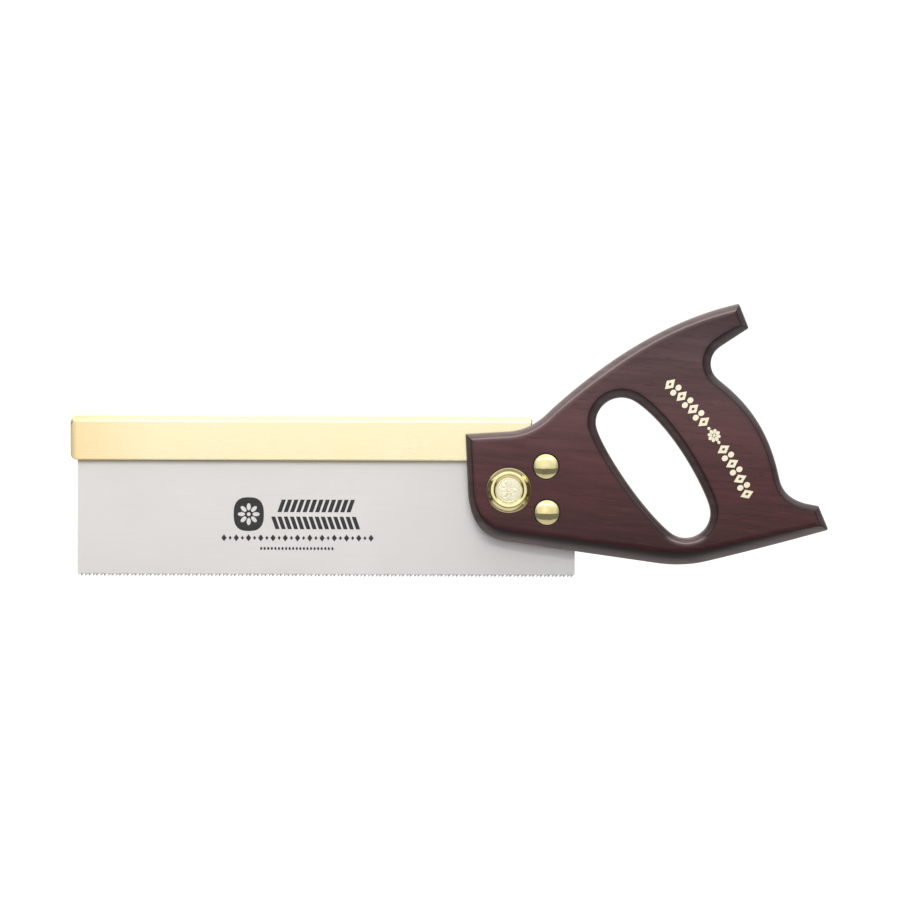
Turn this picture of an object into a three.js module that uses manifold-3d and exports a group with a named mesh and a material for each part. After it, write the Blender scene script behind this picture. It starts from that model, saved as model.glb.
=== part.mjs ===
// A tenon saw: a steel plate with a folded brass back, in a flat-sided hardwood handle.
//
// Millimetres, +Z up. The saw stands upright, teeth down: X runs from the toe to the handle,
// Y through the thickness (the near cheek is at -Y) and Z up from the tooth tips.
// Sizes are laid out from the plate's heel corner, where X = 0, Y = 0 is the middle of the
// plate and Z = 0 is the line of the tooth tips. The finished group is then moved so that the
// origin lies in the middle of the grip, where a hand or a rack would hold the saw.

import * as THREE from "three";
import { mergeVertices } from "three/addons/utils/BufferGeometryUtils.js";
import Module from "manifold-3d";

const wasm = await Module();
wasm.setup();

// ---------------------------------------------------------------- driving dimensions

const GRIP_CENTRE = new THREE.Vector3(78, 0, 64);

const PLATE_LENGTH = 254;
const PLATE_THICKNESS = 0.8;
const PLATE_TOP = 71; // the upper edge, inside the folded back
const TEETH_PER_INCH = 13;
const TOOTH_RAKE = THREE.MathUtils.degToRad(5); // front of a tooth, back from the vertical
const TOOTH_BACK = THREE.MathUtils.degToRad(55); // back of a tooth, from the vertical
const TOE_NIP_RUN = 1; // the toe's lower corner is taken off: along the teeth
const TOE_NIP_RISE = 2; // and up the toe

const BACK_TOE = -257.8; // the back overhangs the plate's toe
const BACK_REAR = -22;
const BACK_BOTTOM = 59.4;
const BACK_TOP = 82;
const BACK_THICKNESS = 6.2;
const BACK_STRIP = 2.6; // thickness of the strip that the back is folded from
const BACK_TOE_RADIUS = 2.8;
const BACK_REAR_CHAMFER = 1;
const BACK_LIP = 0.4; // chamfer along the folded strip's lower edges

const HANDLE_THICKNESS = 22;
const EDGE_WIDTH = 4; // the handle's rounded edges, measured on the cheek
const EDGE_DEPTH = 5; // and measured down the side
const EDGE_STEPS = 3;
const CURVE_STEPS = 10;
const SLOT_AHEAD = -80; // the plate's and the back's slots are cut from well ahead of the nose
const SLOT_BELOW = -10; // and from below the chin
const SLOT_ABOVE = 100; // to above the nose

const CLEARANCE = 0.1; // between flat faces that meet
const ROUND_CLEARANCE = 0.25; // between a round piece and its hole

const MEDALLION = { x: -33.8, z: 44.4, shank: 3, neck: 8, nut: 7 };
const UPPER = { x: -14.9, z: 56.7, shank: 2.5, neck: 5.6, nut: 6.3 };
const LOWER = { x: -14.3, z: 33.2, shank: 2.5, neck: 5.6, nut: 6.3 };
const FASTENERS = [MEDALLION, UPPER, LOWER];

const FLANGE_RADIUS = 11.4;
const RIM_OUTER = 9.3;
const RIM_INNER = 7.9;
const RIM_DRAFT = 0.3; // the recess narrows this much towards its floor
const RIM_ROUND = 0.35; // softens the rim's crest
const FLANGE_EDGE = 0.3; // height of the flange's edge above the cheek
const MEDALLION_HEIGHT = 2.4; // the rim's crest above the cheek
const MEDALLION_SEAT = 0.8; // depth of the shallow recess under the flange
const RECESS_FLOOR = 0.6; // the medallion's own recess, above the cheek
const DISC_RADIUS = 6.45;
const DISC_EDGE = 0.9; // height of the disc's edge and of its crown above the recess
const DISC_CROWN = 1.3;
const DISC_STEPS = 3;

const DOME_RADIUS = 6.3;
const DOME_HEIGHT = 1.5; // crown above its own edge
const DOME_SEAT = 2; // depth of the counterbore
const DOME_SUNK = 0.3; // the dome's own edge below the cheek
const DOME_STEPS = 5;
const NECK_DEPTH = 3; // length of the square neck
const NECK_ROOT = 0.5; // how far the neck is let into its head

const NUT_SEAT = 1.8; // depth of the nut's counterbore in the far cheek
const NUT_SUNK = 0.2; // the nut's face below the far cheek
const NUT_BARREL = 7.5; // length of the nut's barrel
const NUT_WALL = 1.3;
const NUT_CHAMFER = 0.3;
const SLOT_WIDTH = 1.3;
const SLOT_DEPTH = 0.9;

const ROUND_SEGMENTS = 32;
const FOLD_STEPS = 12;
const PAST = 5; // how far a cutter runs past the face that it cuts

// ---------------------------------------------------------------- helpers

const CHEEK = HANDLE_THICKNESS / 2;

// A closed mesh as a manifold-3d solid, and a solid as a geometry again.
function solid(geometry) {
  const bare = geometry.index ? geometry.toNonIndexed() : geometry.clone();
  bare.deleteAttribute("normal");
  bare.deleteAttribute("uv");
  const merged = mergeVertices(bare, 1e-4);
  return new wasm.Manifold(
    new wasm.Mesh({
      numProp: 3,
      vertProperties: merged.getAttribute("position").array,
      triVerts: new Uint32Array(merged.index.array),
    }),
  );
}

function geometryOf(made) {
  const { vertProperties, triVerts, numProp, numVert } = made.getMesh();
  const position = new Float32Array(numVert * 3);
  for (let i = 0; i < numVert; i++) {
    position.set(vertProperties.subarray(i * numProp, i * numProp + 3), i * 3);
  }
  const indexed = new THREE.BufferGeometry();
  indexed.setAttribute("position", new THREE.BufferAttribute(position, 3));
  indexed.setIndex(new THREE.BufferAttribute(new Uint32Array(triVerts), 1));
  const geometry = indexed.toNonIndexed();
  geometry.computeVertexNormals();
  return geometry;
}

// An outline drawn in X and Z, given a thickness along Y about the middle of the saw.
function sideways(outline, thickness, options = {}) {
  const bevel = options.bevelThickness ?? 0;
  const geometry = new THREE.ExtrudeGeometry(outline, {
    depth: thickness - 2 * bevel,
    bevelEnabled: bevel > 0,
    curveSegments: CURVE_STEPS,
    ...options,
  });
  geometry.translate(0, 0, bevel - thickness / 2);
  return geometry.rotateX(Math.PI / 2);
}

function box(minX, maxX, minY, maxY, minZ, maxZ) {
  const geometry = new THREE.BoxGeometry(maxX - minX, maxY - minY, maxZ - minZ);
  return geometry.translate((minX + maxX) / 2, (minY + maxY) / 2, (minZ + maxZ) / 2);
}

// A round hole or rod along Y at a fastener.
function rod(at, radius, minY, maxY) {
  const geometry = new THREE.CylinderGeometry(radius, radius, maxY - minY, ROUND_SEGMENTS);
  return geometry.translate(at.x, (minY + maxY) / 2, at.z);
}

// A turned shape about the Y axis at a fastener, from a profile of [radius, y] that climbs in Y.
function turned(at, profile) {
  const points = profile.map(([radius, y]) => new THREE.Vector2(radius, y));
  return new THREE.LatheGeometry(points, ROUND_SEGMENTS).translate(at.x, 0, at.z);
}

function squareNeck(at, side, minY, maxY) {
  return box(at.x - side / 2, at.x + side / 2, minY, maxY, at.z - side / 2, at.z + side / 2);
}

function material(color, roughness, metalness) {
  return new THREE.MeshStandardMaterial({ color, roughness, metalness });
}

const saw = new THREE.Group();
saw.name = "tenon_saw";

function addPiece(name, geometry, finish) {
  const mesh = new THREE.Mesh(geometry, finish);
  mesh.name = name;
  mesh.position.copy(GRIP_CENTRE).negate();
  saw.add(mesh);
}

// ---------------------------------------------------------------- saw plate

function sawPlate() {
  const pitch = 25.4 / TEETH_PER_INCH;
  const teeth = Math.round(PLATE_LENGTH / pitch);
  const depth = pitch / (Math.tan(TOOTH_RAKE) + Math.tan(TOOTH_BACK));
  const outline = new THREE.Shape();
  outline.moveTo(-PLATE_LENGTH, TOE_NIP_RISE);
  for (let i = 0; i < teeth; i++) {
    const gullet = i * pitch - PLATE_LENGTH;
    const front = i === 0 ? TOE_NIP_RUN : depth * Math.tan(TOOTH_RAKE);
    outline.lineTo(gullet + front, 0);
    outline.lineTo(gullet + pitch, depth);
  }
  outline.lineTo(0, PLATE_TOP);
  outline.lineTo(-PLATE_LENGTH, PLATE_TOP);
  outline.closePath();
  for (const at of FASTENERS) {
    const hole = new THREE.Path();
    hole.absarc(at.x, at.z, at.shank + ROUND_CLEARANCE, 0, 2 * Math.PI, true);
    outline.holes.push(hole);
  }
  return sideways(outline, PLATE_THICKNESS);
}

// ---------------------------------------------------------------- brass back

// The folded section, drawn in Y and Z: two legs and a round fold, open below.
function foldedSection() {
  const outer = BACK_THICKNESS / 2;
  const inner = outer - BACK_STRIP;
  const foldCentre = BACK_TOP - outer;
  const section = new THREE.Shape();
  section.moveTo(inner, BACK_BOTTOM);
  section.lineTo(outer - BACK_LIP, BACK_BOTTOM);
  section.lineTo(outer, BACK_BOTTOM + BACK_LIP);
  section.lineTo(outer, foldCentre);
  section.absarc(0, foldCentre, outer, 0, Math.PI, false);
  section.lineTo(-outer, BACK_BOTTOM + BACK_LIP);
  section.lineTo(-outer + BACK_LIP, BACK_BOTTOM);
  section.lineTo(-inner, BACK_BOTTOM);
  section.lineTo(-inner, foldCentre);
  section.absarc(0, foldCentre, inner, Math.PI, 0, true);
  section.closePath();
  return section;
}

// Its side view: rounded corners at the toe, small chamfers at the rear.
function backSideView() {
  const r = BACK_TOE_RADIUS;
  const c = BACK_REAR_CHAMFER;
  const view = new THREE.Shape();
  view.moveTo(BACK_TOE + r, BACK_BOTTOM);
  view.lineTo(BACK_REAR - c, BACK_BOTTOM);
  view.lineTo(BACK_REAR, BACK_BOTTOM + c);
  view.lineTo(BACK_REAR, BACK_TOP - c);
  view.lineTo(BACK_REAR - c, BACK_TOP);
  view.lineTo(BACK_TOE + r, BACK_TOP);
  view.absarc(BACK_TOE + r, BACK_TOP - r, r, Math.PI / 2, Math.PI, false);
  view.absarc(BACK_TOE + r, BACK_BOTTOM + r, r, Math.PI, 1.5 * Math.PI, false);
  return view;
}

function brassBack() {
  const run = new THREE.ExtrudeGeometry(foldedSection(), {
    depth: BACK_REAR - BACK_TOE,
    bevelEnabled: false,
    curveSegments: FOLD_STEPS,
  });
  // The extrusion's own X, Y, Z become the saw's Y, Z, X.
  run.applyMatrix4(new THREE.Matrix4().set(0, 0, 1, BACK_TOE, 1, 0, 0, 0, 0, 1, 0, 0, 0, 0, 0, 1));
  const trim = sideways(backSideView(), 2 * BACK_THICKNESS);
  return geometryOf(solid(run).intersect(solid(trim)));
}

// ---------------------------------------------------------------- handle

// A point of an oval end, at an angle measured from its long axis.
function pointOn(end, angle) {
  const along = end.long * Math.cos(angle);
  const across = end.short * Math.sin(angle);
  const [c, s] = [Math.cos(end.turn), Math.sin(end.turn)];
  return [end.x + along * c - across * s, end.z + along * s + across * c];
}

// Two oval ends joined by gently bowed sides, drawn the opposite way round to the outline.
function handHole() {
  const degrees = THREE.MathUtils.degToRad;
  const crown = { x: 23.2, z: 79.6, long: 13, short: 12.35, turn: degrees(25) };
  const foot = { x: 56.6, z: 33, long: 12.7, short: 12.7, turn: 0 };
  const [crownStart, crownEnd, footStart, footEnd] = [25, 165, -130, 22].map(degrees);
  const hole = new THREE.Path();
  hole.absellipse(crown.x, crown.z, crown.long, crown.short, crownStart, crownEnd, false, crown.turn);
  hole.bezierCurveTo(14, 65.6, 32.5, 37, ...pointOn(foot, footStart));
  hole.absellipse(foot.x, foot.z, foot.long, foot.short, footStart, footEnd, false, foot.turn);
  hole.bezierCurveTo(63, 52.3, 48.4, 77.7, ...pointOn(crown, crownStart));
  return hole;
}

// The handle's outline, clockwise from the nose's upper corner.
function handleOutline() {
  const outline = new THREE.Shape();
  const degrees = THREE.MathUtils.degToRad;
  outline.moveTo(-56, 73.1);
  outline.lineTo(-34, 74.4);
  outline.quadraticCurveTo(-22.3, 74.8, -12, 86); // saddle behind the back
  outline.bezierCurveTo(14.5, 109.9, 45.7, 131.6, 83.4, 140.2); // arch over the hand
  outline.lineTo(88.5, 127.5); // end of the upper horn
  outline.absarc(79.2, 109.4, 10.3, degrees(130), degrees(227), false); // web of the thumb
  outline.bezierCurveTo(90.3, 88.3, 99.5, 73.3, 104.2, 51); // back of the grip
  outline.bezierCurveTo(105.4, 43.8, 110.7, 38.4, 124.3, 37);
  outline.lineTo(129.5, 24.8); // end of the lower horn
  outline.quadraticCurveTo(98.2, 16, 66.6, 8.4);
  outline.quadraticCurveTo(55, 5.7, 42, 7.5); // belly
  outline.lineTo(-36, 18.5);
  outline.bezierCurveTo(-46.5, 20, -53, 27.3, -54.6, 42); // chin
  outline.closePath();
  outline.holes.push(handHole());
  return outline;
}

// Everything that is cut out of the handle for one fastener.
function fastenerBores(at, headRadius, headSeat) {
  const beyond = CHEEK + PAST;
  const neck = at.neck + 2 * CLEARANCE;
  const neckFloor = headSeat + NECK_DEPTH + CLEARANCE - CHEEK;
  const barrelFloor = CHEEK - NUT_SUNK - NUT_BARREL - CLEARANCE;
  return [
    rod(at, headRadius + ROUND_CLEARANCE, -beyond, headSeat - CHEEK),
    squareNeck(at, neck, -beyond, neckFloor),
    rod(at, at.shank + ROUND_CLEARANCE, -beyond, beyond),
    rod(at, at.shank + NUT_WALL + ROUND_CLEARANCE, barrelFloor, beyond),
    rod(at, at.nut + ROUND_CLEARANCE, CHEEK - NUT_SEAT, beyond),
  ];
}

function handle() {
  const blank = sideways(handleOutline(), HANDLE_THICKNESS, {
    bevelThickness: EDGE_DEPTH,
    bevelSize: EDGE_WIDTH,
    bevelOffset: -EDGE_WIDTH,
    bevelSegments: EDGE_STEPS,
  });
  const kerf = PLATE_THICKNESS / 2 + CLEARANCE;
  const mortise = BACK_THICKNESS / 2 + CLEARANCE;
  const cuts = [
    box(SLOT_AHEAD, CLEARANCE, -kerf, kerf, SLOT_BELOW, PLATE_TOP + CLEARANCE),
    box(SLOT_AHEAD, BACK_REAR + CLEARANCE, -mortise, mortise, BACK_BOTTOM - CLEARANCE, SLOT_ABOVE),
    ...fastenerBores(MEDALLION, FLANGE_RADIUS, MEDALLION_SEAT),
    ...fastenerBores(UPPER, DOME_RADIUS, DOME_SEAT),
    ...fastenerBores(LOWER, DOME_RADIUS, DOME_SEAT),
  ];
  return geometryOf(cuts.reduce((left, cut) => left.subtract(solid(cut)), solid(blank)));
}

// ---------------------------------------------------------------- screws and nuts

// The shank's far end lies just under the face of its nut.
const SHANK_END = CHEEK - NUT_SUNK - SLOT_DEPTH - CLEARANCE;

function domedScrew(at) {
  const seat = DOME_SEAT - CLEARANCE - CHEEK; // underside of the head
  const edge = DOME_SUNK - CHEEK;
  const sphere = (DOME_RADIUS ** 2 + DOME_HEIGHT ** 2) / (2 * DOME_HEIGHT);
  const spread = Math.asin(DOME_RADIUS / sphere);
  const profile = [];
  for (let i = 0; i <= DOME_STEPS; i++) {
    const angle = (spread * i) / DOME_STEPS;
    const drop = sphere * (1 - Math.cos(angle));
    profile.push([sphere * Math.sin(angle), edge - DOME_HEIGHT + drop]);
  }
  profile.push([DOME_RADIUS, seat], [at.shank, seat], [at.shank, SHANK_END], [0, SHANK_END]);
  const neck = squareNeck(at, at.neck, seat - NECK_ROOT, DOME_SEAT + NECK_DEPTH - CHEEK);
  return geometryOf(solid(turned(at, profile)).add(solid(neck)));
}

function medallionScrew(at) {
  const seat = MEDALLION_SEAT - CLEARANCE - CHEEK;
  const crest = -CHEEK - MEDALLION_HEIGHT;
  const floor = -CHEEK - RECESS_FLOOR;
  const profile = [
    [0, floor],
    [RIM_INNER - RIM_DRAFT, floor],
    [RIM_INNER, crest + RIM_ROUND],
    [RIM_INNER + RIM_ROUND, crest],
    [RIM_OUTER - RIM_ROUND, crest],
    [RIM_OUTER, crest + RIM_ROUND],
    [FLANGE_RADIUS, -CHEEK - FLANGE_EDGE],
    [FLANGE_RADIUS, seat],
    [at.shank, seat],
    [at.shank, SHANK_END],
    [0, SHANK_END],
  ];
  const neck = squareNeck(at, at.neck, seat - NECK_ROOT, MEDALLION_SEAT + NECK_DEPTH - CHEEK);
  return geometryOf(solid(turned(at, profile)).add(solid(neck)));
}

function medallionDisc(at) {
  const base = -CHEEK - RECESS_FLOOR - CLEARANCE;
  const profile = [];
  for (let i = 0; i <= DISC_STEPS; i++) {
    const share = i / DISC_STEPS;
    const height = DISC_CROWN - (DISC_CROWN - DISC_EDGE) * share ** 2;
    profile.push([DISC_RADIUS * share, base - height]);
  }
  profile.push([DISC_RADIUS, base], [0, base]);
  return turned(at, profile);
}

function slottedNut(at) {
  const face = CHEEK - NUT_SUNK;
  const bore = at.shank + ROUND_CLEARANCE;
  const barrel = at.shank + NUT_WALL;
  const under = CHEEK - NUT_SEAT + CLEARANCE;
  const body = turned(at, [
    [bore, face - NUT_BARREL],
    [barrel, face - NUT_BARREL],
    [barrel, under],
    [at.nut, under],
    [at.nut, face - NUT_CHAMFER],
    [at.nut - NUT_CHAMFER, face],
    [bore, face],
    [bore, face - NUT_BARREL],
  ]);
  const reach = at.nut + PAST;
  const slot = box(
    at.x - reach,
    at.x + reach,
    face - SLOT_DEPTH,
    face + PAST,
    at.z - SLOT_WIDTH / 2,
    at.z + SLOT_WIDTH / 2,
  );
  return geometryOf(solid(body).subtract(solid(slot)));
}

// ---------------------------------------------------------------- assembly

const steel = material(0xd9d5d1, 0.38, 1);
const foldedBrass = material(0xf6dc92, 0.3, 1);
const rosewood = material(0x4e3233, 0.35, 0);
const polishedBrass = material(0xe0c76a, 0.15, 1);
const struckBrass = material(0xe9dba0, 0.3, 1);

addPiece("saw_plate", sawPlate(), steel);
addPiece("brass_back", brassBack(), foldedBrass);
addPiece("handle", handle(), rosewood);
addPiece("medallion_screw", medallionScrew(MEDALLION), polishedBrass);
addPiece("medallion_disc", medallionDisc(MEDALLION), struckBrass);
addPiece("medallion_nut", slottedNut(MEDALLION), polishedBrass);
addPiece("upper_screw", domedScrew(UPPER), polishedBrass);
addPiece("upper_nut", slottedNut(UPPER), polishedBrass);
addPiece("lower_screw", domedScrew(LOWER), polishedBrass);
addPiece("lower_nut", slottedNut(LOWER), polishedBrass);

export default saw;
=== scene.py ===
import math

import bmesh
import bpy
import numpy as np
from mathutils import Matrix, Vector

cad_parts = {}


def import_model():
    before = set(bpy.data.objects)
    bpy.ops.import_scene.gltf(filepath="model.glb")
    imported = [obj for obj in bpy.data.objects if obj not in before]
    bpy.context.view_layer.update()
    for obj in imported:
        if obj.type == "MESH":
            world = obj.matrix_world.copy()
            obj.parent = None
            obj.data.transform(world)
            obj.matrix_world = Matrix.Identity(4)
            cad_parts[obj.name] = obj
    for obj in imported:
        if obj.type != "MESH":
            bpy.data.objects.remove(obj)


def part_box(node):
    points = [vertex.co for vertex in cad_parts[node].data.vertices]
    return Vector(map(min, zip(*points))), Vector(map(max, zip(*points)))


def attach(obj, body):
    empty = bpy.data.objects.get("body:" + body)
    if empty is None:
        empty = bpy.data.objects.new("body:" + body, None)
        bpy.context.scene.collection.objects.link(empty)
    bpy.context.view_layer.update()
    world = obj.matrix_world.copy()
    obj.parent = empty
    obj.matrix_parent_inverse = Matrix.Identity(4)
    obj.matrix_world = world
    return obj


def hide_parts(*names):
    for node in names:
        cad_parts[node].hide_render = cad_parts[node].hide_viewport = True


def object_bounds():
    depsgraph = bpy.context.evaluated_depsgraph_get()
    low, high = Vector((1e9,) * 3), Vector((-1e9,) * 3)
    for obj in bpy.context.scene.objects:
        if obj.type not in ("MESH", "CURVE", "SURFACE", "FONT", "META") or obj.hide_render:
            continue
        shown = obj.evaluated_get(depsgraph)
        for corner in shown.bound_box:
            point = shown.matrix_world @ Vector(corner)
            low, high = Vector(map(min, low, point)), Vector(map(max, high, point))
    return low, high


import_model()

# A tenon saw: steel plate, folded brass back, dark lacquered hardwood handle, brass screws.
# Everything is in metres in the frame of the CAD model. Places are laid out, as the part's
# own source does, in millimetres from the plate's heel corner: X towards the handle, Z up
# from the tooth tips, Y through the thickness with the near cheek at -Y.

CAD_LOW, CAD_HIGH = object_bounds()
MM = 0.001


# ---------------- places from the frame

def box_mm(node):
    """A CAD node's box in layout millimetres: (low, high)."""
    low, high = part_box(node)
    return (low - HEEL) / MM, (high - HEEL) / MM


plate_low, plate_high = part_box("saw_plate")
HEEL = Vector((plate_high.x, 0.0, plate_low.z))
PLATE_LOW, PLATE_HIGH = box_mm("saw_plate")
BACK_LOW, BACK_HIGH = box_mm("brass_back")
HANDLE_LOW, HANDLE_HIGH = box_mm("handle")


def centre_mm(node):
    low, high = box_mm(node)
    return (low.x + high.x) / 2, (low.z + high.z) / 2


MEDALLION = centre_mm("medallion_screw")
UPPER = centre_mm("upper_screw")
LOWER = centre_mm("lower_screw")
CHEEK = HANDLE_HIGH.y  # half the handle's thickness


def place(x, y, z):
    """A layout point, in millimetres, as a point of the frame."""
    return HEEL + Vector((x, y, z)) * MM


def at_x(x):
    """A layout X as an X of the frame."""
    return place(x, 0, 0).x


def at_z(z):
    """A layout height as a height of the frame."""
    return place(0, 0, z).z


# ---------------- mesh tools

def linked(name, data):
    """A new object in the scene."""
    piece = bpy.data.objects.new(name, data)
    bpy.context.scene.collection.objects.link(piece)
    return piece


def mesh_object(name, verts, faces):
    """verts in layout millimetres."""
    mesh = bpy.data.meshes.new(name)
    mesh.from_pydata([place(*v) for v in verts], [], faces)
    mesh.validate()
    return linked(name, mesh)


def ring_faces(rings):
    """Four-sided faces between each closed ring of points and the next."""
    count = len(rings[0])
    return [(a[i], a[(i + 1) % count], b[(i + 1) % count], b[i])
            for a, b in zip(rings, rings[1:]) for i in range(count)]


def tidy_mesh(piece):
    """Consistent outward faces, and no doubled points."""
    bm = bmesh.new()
    bm.from_mesh(piece.data)
    bmesh.ops.remove_doubles(bm, verts=bm.verts, dist=1e-7)
    bmesh.ops.recalc_face_normals(bm, faces=bm.faces)
    bm.to_mesh(piece.data)
    bm.free()


def boolean(piece, cutter, operation):
    """Cuts or joins, keeps the result as piece's own mesh and removes the cutter."""
    modifier = piece.modifiers.new("boolean", "BOOLEAN")
    modifier.operation = operation
    modifier.object = cutter
    modifier.solver = "EXACT"
    bake_modifiers(piece)
    bpy.data.objects.remove(cutter)


def bake_modifiers(piece):
    bpy.context.view_layer.update()
    graph = bpy.context.evaluated_depsgraph_get()
    made = bpy.data.meshes.new_from_object(piece.evaluated_get(graph))
    piece.modifiers.clear()
    piece.data = made


def smooth(piece, angle_degrees=35):
    for polygon in piece.data.polygons:
        polygon.use_smooth = True
    piece.data.set_sharp_from_angle(angle=math.radians(angle_degrees))
    modifier = piece.modifiers.new("weighted", "WEIGHTED_NORMAL")
    modifier.keep_sharp = True
    bake_modifiers(piece)


def finish_piece(piece, material, node=None, angle_degrees=35):
    """Smooths a piece, gives it its material, and ties it to the frame."""
    smooth(piece, angle_degrees)
    piece.data.materials.clear()
    piece.data.materials.append(material)
    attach(piece, "root")
    if node:
        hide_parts(node)


def box_piece(name, low, high):
    (x0, y0, z0), (x1, y1, z1) = low, high
    verts = [(x, y, z) for x in (x0, x1) for y in (y0, y1) for z in (z0, z1)]
    faces = [(0, 1, 3, 2), (4, 6, 7, 5), (0, 4, 5, 1), (2, 3, 7, 6), (0, 2, 6, 4), (1, 5, 7, 3)]
    return mesh_object(name, verts, faces)


def prism(name, outline, near, far):
    """A block between two Y levels, with a convex outline in X and Z."""
    count = len(outline)
    verts = [(x, near, z) for x, z in outline] + [(x, far, z) for x, z in outline]
    sides = [(i, (i + 1) % count, count + (i + 1) % count, count + i) for i in range(count)]
    caps = [tuple(range(count)), tuple(reversed(range(count, 2 * count)))]
    piece = mesh_object(name, verts, sides + caps)
    tidy_mesh(piece)
    return piece


def fillet(profile, steps=5):
    """A profile of (radius, y, corner radius) with its corners rounded, as (radius, y) points."""
    out = []
    for i, (r, y, corner) in enumerate(profile):
        if corner == 0 or i in (0, len(profile) - 1):
            out.append((r, y))
            continue
        here = np.array((r, y))
        before = np.array(profile[i - 1][:2]) - here
        after = np.array(profile[i + 1][:2]) - here
        reach_before = min(corner, 0.45 * np.linalg.norm(before))
        reach_after = min(corner, 0.45 * np.linalg.norm(after))
        start = here + before / np.linalg.norm(before) * reach_before
        end = here + after / np.linalg.norm(after) * reach_after
        for t in np.linspace(0, 1, steps):
            out.append(tuple((1 - t) ** 2 * start + 2 * t * (1 - t) * here + t * t * end))
    return out


def lathe(name, centre, profile, segments=128, relief=None):
    """A turned piece about the Y axis. profile is (radius, y) points, and ends on the axis or closes.
    relief(radius, angle) is taken from y, so that it raises the surface towards the near side."""
    cx, cz = centre
    closed = profile[0] == profile[-1]
    points = profile[:-1] if closed else profile
    verts, rings = [], []
    for r, y in points:
        if r < 1e-6:
            verts.append((cx, y - (relief(0, 0) if relief else 0), cz))
            rings.append([len(verts) - 1] * segments)
            continue
        ring = []
        for i in range(segments):
            angle = 2 * math.pi * i / segments
            lift = relief(r, angle) if relief else 0
            verts.append((cx + r * math.cos(angle), y - lift, cz + r * math.sin(angle)))
            ring.append(len(verts) - 1)
        rings.append(ring)
    pairs = list(zip(rings, rings[1:]))
    if closed:
        pairs.append((rings[-1], rings[0]))
    faces = []
    for a, b in pairs:
        for i in range(segments):
            j = (i + 1) % segments
            corners = [a[i], a[j], b[j], b[i]]
            unique = [c for k, c in enumerate(corners) if c not in corners[:k]]
            if len(unique) > 2:
                faces.append(unique)
    piece = mesh_object(name, verts, faces)
    tidy_mesh(piece)
    return piece


def flat_art(name, shapes, near, far):
    """Thin raised artwork lying in X and Z between two Y levels.
    Each shape is a list of closed loops: its edge, then any holes in it."""
    verts, faces = [], []
    for loops in shapes:
        bm = bmesh.new()
        edges = []
        for loop in loops:
            ring = [bm.verts.new((x, 0, z)) for x, z in loop]
            edges += [bm.edges.new((a, b)) for a, b in zip(ring, ring[1:] + ring[:1])]
        bmesh.ops.triangle_fill(bm, edges=edges, use_beauty=True)
        bm.verts.index_update()
        flat = [(v.co.x, v.co.z) for v in bm.verts]
        base = len(verts)
        count = len(flat)
        verts += [(x, near, z) for x, z in flat] + [(x, far, z) for x, z in flat]
        for face in bm.faces:
            index = [v.index for v in face.verts]
            faces.append([base + i for i in index])
            faces.append([base + count + i for i in reversed(index)])
        start = 0
        for loop in loops:
            for i in range(len(loop)):
                a = base + start + i
                b = base + start + (i + 1) % len(loop)
                faces.append([a, b, b + count, a + count])
            start += len(loop)
        bm.free()
    piece = mesh_object(name, verts, faces)
    tidy_mesh(piece)
    return piece


# ---------------- curves in X and Z

def line(a, b, count=60):
    t = np.linspace(0, 1, count)[:, None]
    return np.array(a) * (1 - t) + np.array(b) * t


def quad(a, c, b, count=60):
    t = np.linspace(0, 1, count)[:, None]
    a, c, b = map(np.array, (a, c, b))
    return a * (1 - t) ** 2 + 2 * c * t * (1 - t) + b * t * t


def cubic(a, c, d, b, count=80):
    t = np.linspace(0, 1, count)[:, None]
    a, c, d, b = map(np.array, (a, c, d, b))
    return a * (1 - t) ** 3 + 3 * c * t * (1 - t) ** 2 + 3 * d * t * t * (1 - t) + b * t ** 3


def arc(centre, radius, start, end, count=60):
    return oval_arc(centre, radius, radius, 0.0, start, end, count)


def oval_arc(centre, long, short, turn, start, end, count=60):
    """Part of an oval whose long axis is turned; its angles are measured from that axis, in degrees."""
    angle = np.radians(np.linspace(start, end, count))
    c, s = math.cos(math.radians(turn)), math.sin(math.radians(turn))
    x, z = long * np.cos(angle), short * np.sin(angle)
    return np.stack([centre[0] + x * c - z * s, centre[1] + x * s + z * c], 1)


def lengths_along(points):
    """How far along a polyline each of its points lies."""
    return np.r_[0, np.cumsum(np.hypot(*np.diff(points, axis=0).T))]


def respaced(points, spacing):
    """The same polyline with even steps."""
    along = lengths_along(points)
    count = max(2, round(along[-1] / spacing) + 1)
    at = np.linspace(0, along[-1], count)
    return np.stack([np.interp(at, along, points[:, k]) for k in (0, 1)], 1)


FINE_STEP = 0.25  # spacing of the points of a faired curve, in millimetres


def faired(points, closed, radius=2.0, spacing=FINE_STEP):
    """Evens out small kinks between the stretches of a curve, over about radius millimetres."""
    even = respaced(points, spacing)
    if closed:
        even = even[:-1]
    reach = int(3 * radius / spacing)
    kernel = np.exp(-0.5 * (np.arange(-reach, reach + 1) * spacing / radius) ** 2)
    kernel /= kernel.sum()
    if closed:
        padded = np.concatenate([even[-reach:], even, even[:reach]])
    else:
        before = 2 * even[0] - even[reach:0:-1]
        after = 2 * even[-1] - even[-2:-reach - 2:-1]
        padded = np.concatenate([before, even, after])
    return np.stack([np.convolve(padded[:, k], kernel, "valid") for k in (0, 1)], 1)


def normals_left(points, closed):
    if closed:
        tangent = np.roll(points, -1, axis=0) - np.roll(points, 1, axis=0)
    else:
        tangent = np.gradient(points, axis=0)
    tangent /= np.linalg.norm(tangent, axis=1)[:, None]
    return np.stack([-tangent[:, 1], tangent[:, 0]], 1)


# ---------------- materials

def shader(name, **settings):
    """A Principled material with constant values on its own sockets."""
    material = bpy.data.materials.new(name)
    material.use_nodes = True
    bsdf = material.node_tree.nodes["Principled BSDF"]
    for key, value in settings.items():
        bsdf.inputs[key.replace("_", " ").title().replace("Ior", "IOR")].default_value = value
    return material, material.node_tree, bsdf


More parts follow.
